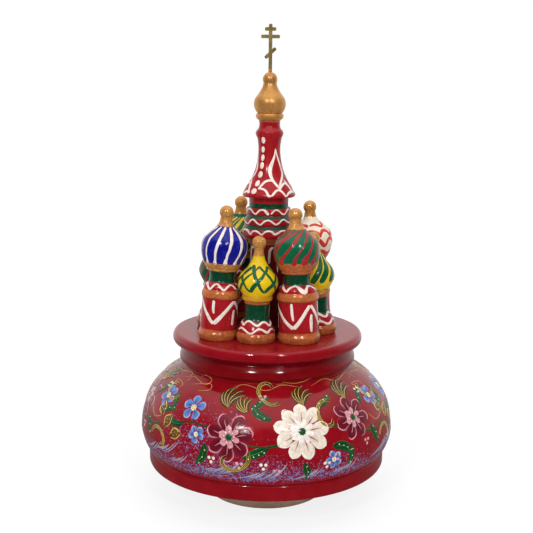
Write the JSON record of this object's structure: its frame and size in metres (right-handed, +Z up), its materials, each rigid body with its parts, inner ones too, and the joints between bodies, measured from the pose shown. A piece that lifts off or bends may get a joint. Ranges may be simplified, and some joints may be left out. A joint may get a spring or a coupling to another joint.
{
  "type": "music box",
  "caption": "Rotating wooden music box: round lacquered bowl on a plain wooden stand, its deck crowned by a ring of painted onion-dome towers round a tall tented spire with a small brass cross.",
  "frame": {"origin": "middle of the stand disc's underside, on the surface it stands on", "axes": "+Z up, -Y towards the pictured front, +X to its right"},
  "size_m": [0.1094, 0.1094, 0.2011],
  "materials": {
    "red_lacquer": "gloss",
    "painted_wood": "gloss",
    "gold_paint": "satin",
    "bare_wood": "matte",
    "antique_brass": "satin",
    "brass": "satin",
    "steel": "satin",
    "cast_zinc": "satin",
    "nylon": "satin"
  },
  "bodies": {
    "stand": {"stand_disc": "bare_wood", "winding_shaft": "steel", "shaft_flange": "steel", "flange_screw_1": "steel", "flange_screw_2": "steel", "thrust_washer": "nylon", "great_wheel": "brass"},
    "box": {"base_board": "red_lacquer", "base_screw_1": "steel", "base_screw_2": "steel", "base_screw_3": "steel", "belly_shell": "red_lacquer", "central_column": "red_lacquer", "comb": "steel", "comb_screw_1": "brass", "comb_screw_2": "brass", "cylinder_bearing": "cast_zinc", "finial_cross": "antique_brass", "gilded_dome": "gold_paint", "governor_frame": "cast_zinc", "housing_screw_1": "steel", "housing_screw_2": "steel", "housing_screw_3": "steel", "mainspring": "steel", "movement_bedplate": "cast_zinc", "movement_screw_1": "steel", "movement_screw_2": "steel", "movement_screw_3": "steel", "spring_housing": "cast_zinc", "tent_spire": "red_lacquer", "tier_drum": "red_lacquer", "top_plate": "red_lacquer", "tower_blue": "painted_wood", "tower_green": "painted_wood", "tower_olive": "painted_wood", "tower_rear": "painted_wood", "tower_striped": "painted_wood", "tower_swirl": "painted_wood", "tower_white": "painted_wood", "tower_yellow": "painted_wood"},
    "cylinder": {"pinned_cylinder": "brass", "cylinder_arbor": "steel", "cylinder_pinion": "brass", "cylinder_gear": "brass"},
    "governor": {"governor_pinion": "steel", "worm_wheel": "nylon"},
    "fan": {"worm": "steel", "air_brake": "nylon"}
  },
  "joints": [
    {"name": "box_turn", "type": "hinge", "parent": "stand", "child": "box", "pos_m": [0, 0, 0], "axis": [0, 0, 1], "range_deg": [0, 2250]},
    {"name": "cylinder_turn", "type": "hinge", "parent": "box", "child": "cylinder", "pos_m": [0, 0, 0.03152], "axis": [1, 0, 0], "continuous": true},
    {"name": "governor_turn", "type": "hinge", "parent": "box", "child": "governor", "pos_m": [0, 0.00985, 0.03325], "axis": [1, 0, 0], "continuous": true},
    {"name": "fan_turn", "type": "hinge", "parent": "box", "child": "fan", "pos_m": [0.03741, 0.0147, 0], "axis": [0, 0, 1], "continuous": true}
  ],
  "couplings": [
    {"joint": "cylinder_turn", "follows": "box_turn", "ratio": -3},
    {"joint": "governor_turn", "follows": "box_turn", "ratio": 12},
    {"joint": "fan_turn", "follows": "box_turn", "ratio": -216}
  ]
}
